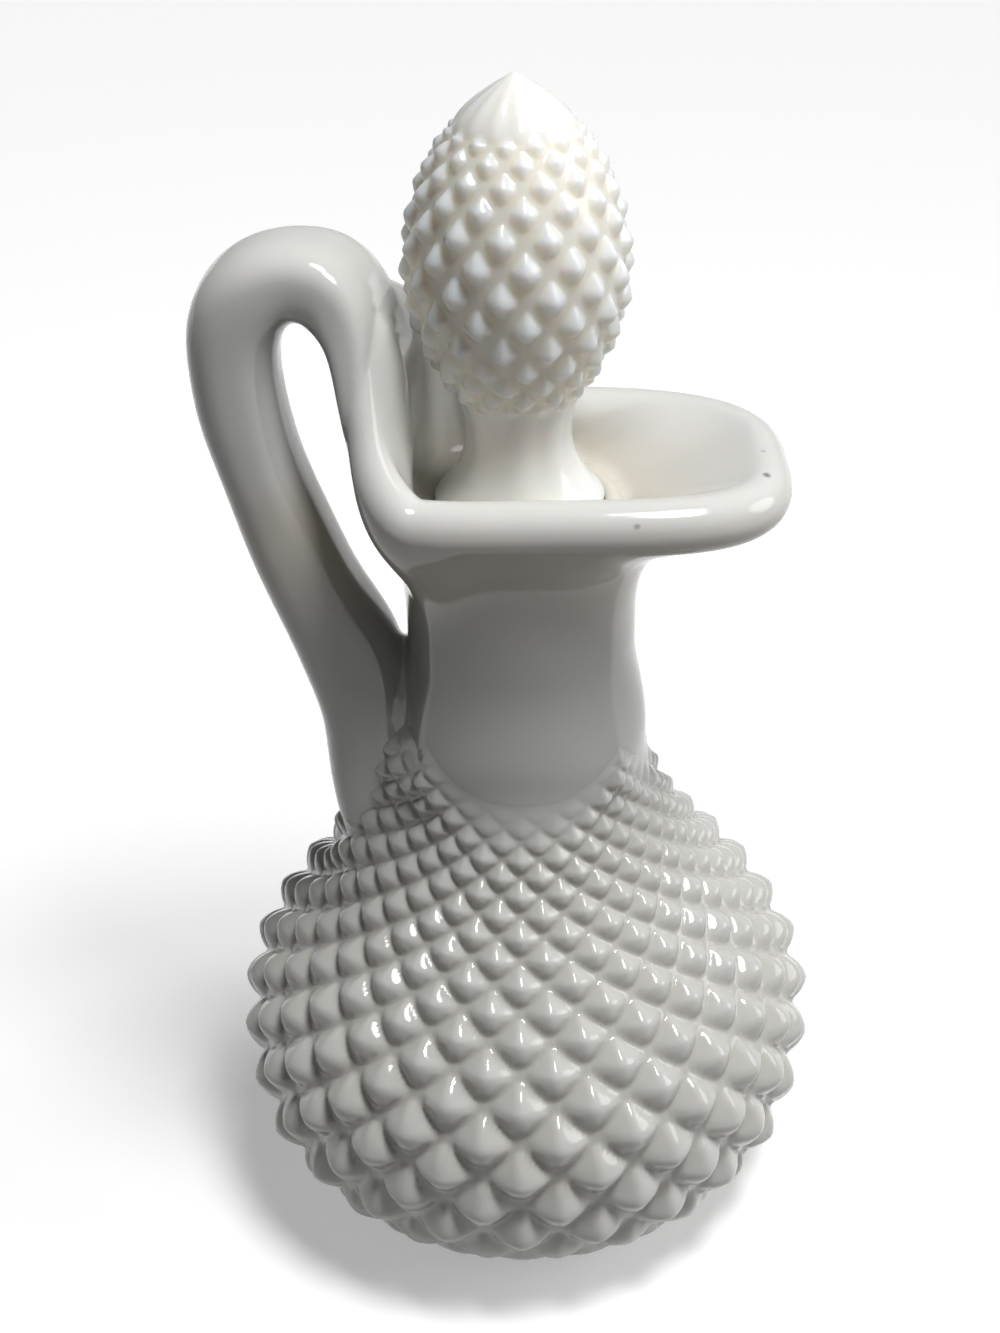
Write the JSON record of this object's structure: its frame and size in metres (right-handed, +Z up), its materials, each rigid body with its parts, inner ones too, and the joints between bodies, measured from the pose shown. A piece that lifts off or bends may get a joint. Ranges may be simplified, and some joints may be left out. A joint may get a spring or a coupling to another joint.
{
  "type": "lidded cruet",
  "caption": "Pressed opaque glass pouring cruet with a hobnail bowl, panelled neck, pinched lip, high loop handle and a loose stopper with a hobnail finial.",
  "frame": {"origin": "Middle of the flat foot, on the surface that the cruet stands on.", "axes": "+Z up along the axis of the bowl, neck and stopper; +X towards the pouring lip's spout, -X towards the handle; the plane Y = 0 holds the handle and the spout."},
  "size_m": [0.0822, 0.0822, 0.1555],
  "materials": {
    "milk_glass": "fire polished, opaque white",
    "stopper_glass": "fire polished, opaque white",
    "ground_glass": "ground, matt white"
  },
  "bodies": {
    "cruet": {"bowl": "milk_glass", "neck": "milk_glass", "pouring_lip": "milk_glass", "handle": "milk_glass"},
    "stopper": {"stopper_finial": "stopper_glass", "stopper_shank": "stopper_glass", "ground_plug": "ground_glass"}
  },
  "joints": [
    {"name": "stopper_lift", "type": "slide", "parent": "cruet", "child": "stopper", "axis": [0, 0, 1], "range_m": [0, 0.06]}
  ]
}
